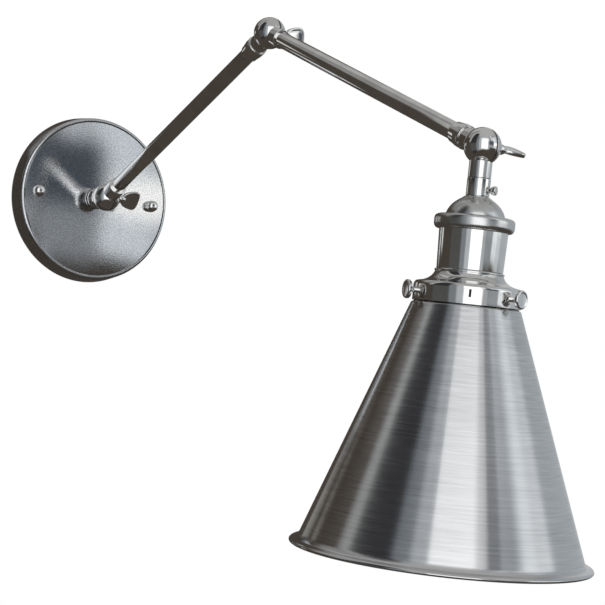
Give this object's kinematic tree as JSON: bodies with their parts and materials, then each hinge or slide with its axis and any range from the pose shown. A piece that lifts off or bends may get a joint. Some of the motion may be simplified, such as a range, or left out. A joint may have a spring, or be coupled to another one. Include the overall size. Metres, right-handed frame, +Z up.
{
  "type": "swing arm wall sconce",
  "caption": "Swing arm wall sconce: round canopy, ball knuckles with thumb screws, tube arms and a brushed metal cone shade on a screw lampholder.",
  "frame": {"origin": "middle of the two wall-screw slots, on the wall's plane", "axes": "+Z up, -Y out of the wall towards the lamp, +X to the right for a person who faces the wall"},
  "size_m": [0.1672, 0.5411, 0.3396],
  "materials": {
    "satin_nickel_plate": "satin nickel plate with a polished edge",
    "polished_nickel": "polished nickel plate",
    "brushed_nickel": "brushed nickel plate",
    "shade_nickel": "nickel plate, brushed round the cone",
    "zinc_steel": "zinc plate",
    "green_steel": "green plated screw",
    "fibre": "dull fibre",
    "brass": "plain brass",
    "porcelain": "glazed porcelain",
    "wire_insulation": "insulation"
  },
  "bodies": {
    "mount": {"mounting_bracket": "zinc_steel", "canopy": "satin_nickel_plate", "canopy_studs": "zinc_steel", "canopy_cap_nuts": "polished_nickel", "ground_screw": "green_steel", "swivel_washer": "fibre", "swivel_stop_pin": "zinc_steel"},
    "wall_swivel": {"wall_knuckle_base": "polished_nickel", "wall_friction_washer": "fibre", "swivel_stop_washer": "zinc_steel", "swivel_lock_nut": "zinc_steel"},
    "wall_screw": {"wall_thumb_screw": "polished_nickel"},
    "lower_arm": {"wall_knuckle_arm": "polished_nickel", "lower_arm_tube": "brushed_nickel", "lower_arm_wires": "wire_insulation", "lower_arm_collar": "brushed_nickel", "elbow_knuckle_lower": "polished_nickel", "elbow_friction_washer": "fibre"},
    "elbow_screw": {"elbow_thumb_screw": "polished_nickel"},
    "upper_arm": {"elbow_knuckle_upper": "polished_nickel", "upper_arm_tube": "brushed_nickel", "upper_arm_wires": "wire_insulation", "upper_arm_collar": "brushed_nickel", "head_knuckle_arm": "polished_nickel"},
    "head_neck": {"head_knuckle_neck": "polished_nickel", "head_friction_washer": "fibre"},
    "head_screw": {"head_thumb_screw": "polished_nickel"},
    "lamp_head": {"swivel_sleeve": "polished_nickel", "cap_nipple": "brass", "cap_lock_nut": "zinc_steel", "socket_cap": "brushed_nickel", "socket_clamp_ring": "brushed_nickel", "socket_shell": "polished_nickel", "lampholder_body": "porcelain", "screw_shell": "brass", "centre_contact": "brass", "terminal_screws": "brass", "lamp_leads": "wire_insulation", "gallery_nut": "brass", "shade_gallery": "polished_nickel", "shade": "shade_nickel"},
    "neck_lock_screw": {"neck_screw": "polished_nickel"},
    "shade_screw_1": {"shade_screw_1": "polished_nickel"},
    "shade_screw_2": {"shade_screw_2": "polished_nickel"},
    "shade_screw_3": {"shade_screw_3": "polished_nickel"}
  },
  "joints": [
    {"name": "wall_turn", "type": "hinge", "parent": "mount", "child": "wall_swivel", "pos_m": [0, -0.015, 0], "axis": [0, -1, 0], "range_deg": [-150, 150]},
    {"name": "wall_tilt", "type": "hinge", "parent": "wall_swivel", "child": "lower_arm", "pos_m": [0, -0.0325, 0], "axis": [1, 0, 0], "range_deg": [-60, 110]},
    {"name": "wall_screw_turn", "type": "hinge", "parent": "wall_swivel", "child": "wall_screw", "pos_m": [0, -0.0325, 0], "axis": [1, 0, 0], "continuous": true},
    {"name": "elbow_fold", "type": "hinge", "parent": "lower_arm", "child": "upper_arm", "pos_m": [0, -0.24974, 0.09221], "axis": [1, 0, 0], "range_deg": [-135, 40]},
    {"name": "elbow_screw_turn", "type": "hinge", "parent": "lower_arm", "child": "elbow_screw", "pos_m": [0, -0.24974, 0.09221], "axis": [1, 0, 0], "continuous": true},
    {"name": "head_tilt", "type": "hinge", "parent": "upper_arm", "child": "head_neck", "pos_m": [0, -0.47534, -0.00588], "axis": [1, 0, 0], "range_deg": [-150, 20]},
    {"name": "head_screw_turn", "type": "hinge", "parent": "head_neck", "child": "head_screw", "pos_m": [0, -0.47534, -0.00588], "axis": [1, 0, 0], "continuous": true},
    {"name": "head_turn", "type": "hinge", "parent": "head_neck", "child": "lamp_head", "pos_m": [0, -0.47394, -0.02357], "axis": [0, 0.0785, -0.9969], "range_deg": [-165, 165]},
    {"name": "neck_screw_turn", "type": "hinge", "parent": "lamp_head", "child": "neck_lock_screw", "pos_m": [0.004, -0.48036, -0.03035], "axis": [0.5, -0.8634, -0.0679], "continuous": true},
    {"name": "shade_screw_1_turn", "type": "hinge", "parent": "lamp_head", "child": "shade_screw_1", "pos_m": [0.0088, -0.50164, -0.0902], "axis": [0.2588, -0.9629, -0.0758], "continuous": true},
    {"name": "shade_screw_2_turn", "type": "hinge", "parent": "lamp_head", "child": "shade_screw_2", "pos_m": [0.02404, -0.44493, -0.08574], "axis": [0.7071, 0.7049, 0.0555], "continuous": true},
    {"name": "shade_screw_3_turn", "type": "hinge", "parent": "lamp_head", "child": "shade_screw_3", "pos_m": [-0.03284, -0.46013, -0.08694], "axis": [-0.9659, 0.258, 0.0203], "continuous": true}
  ]
}
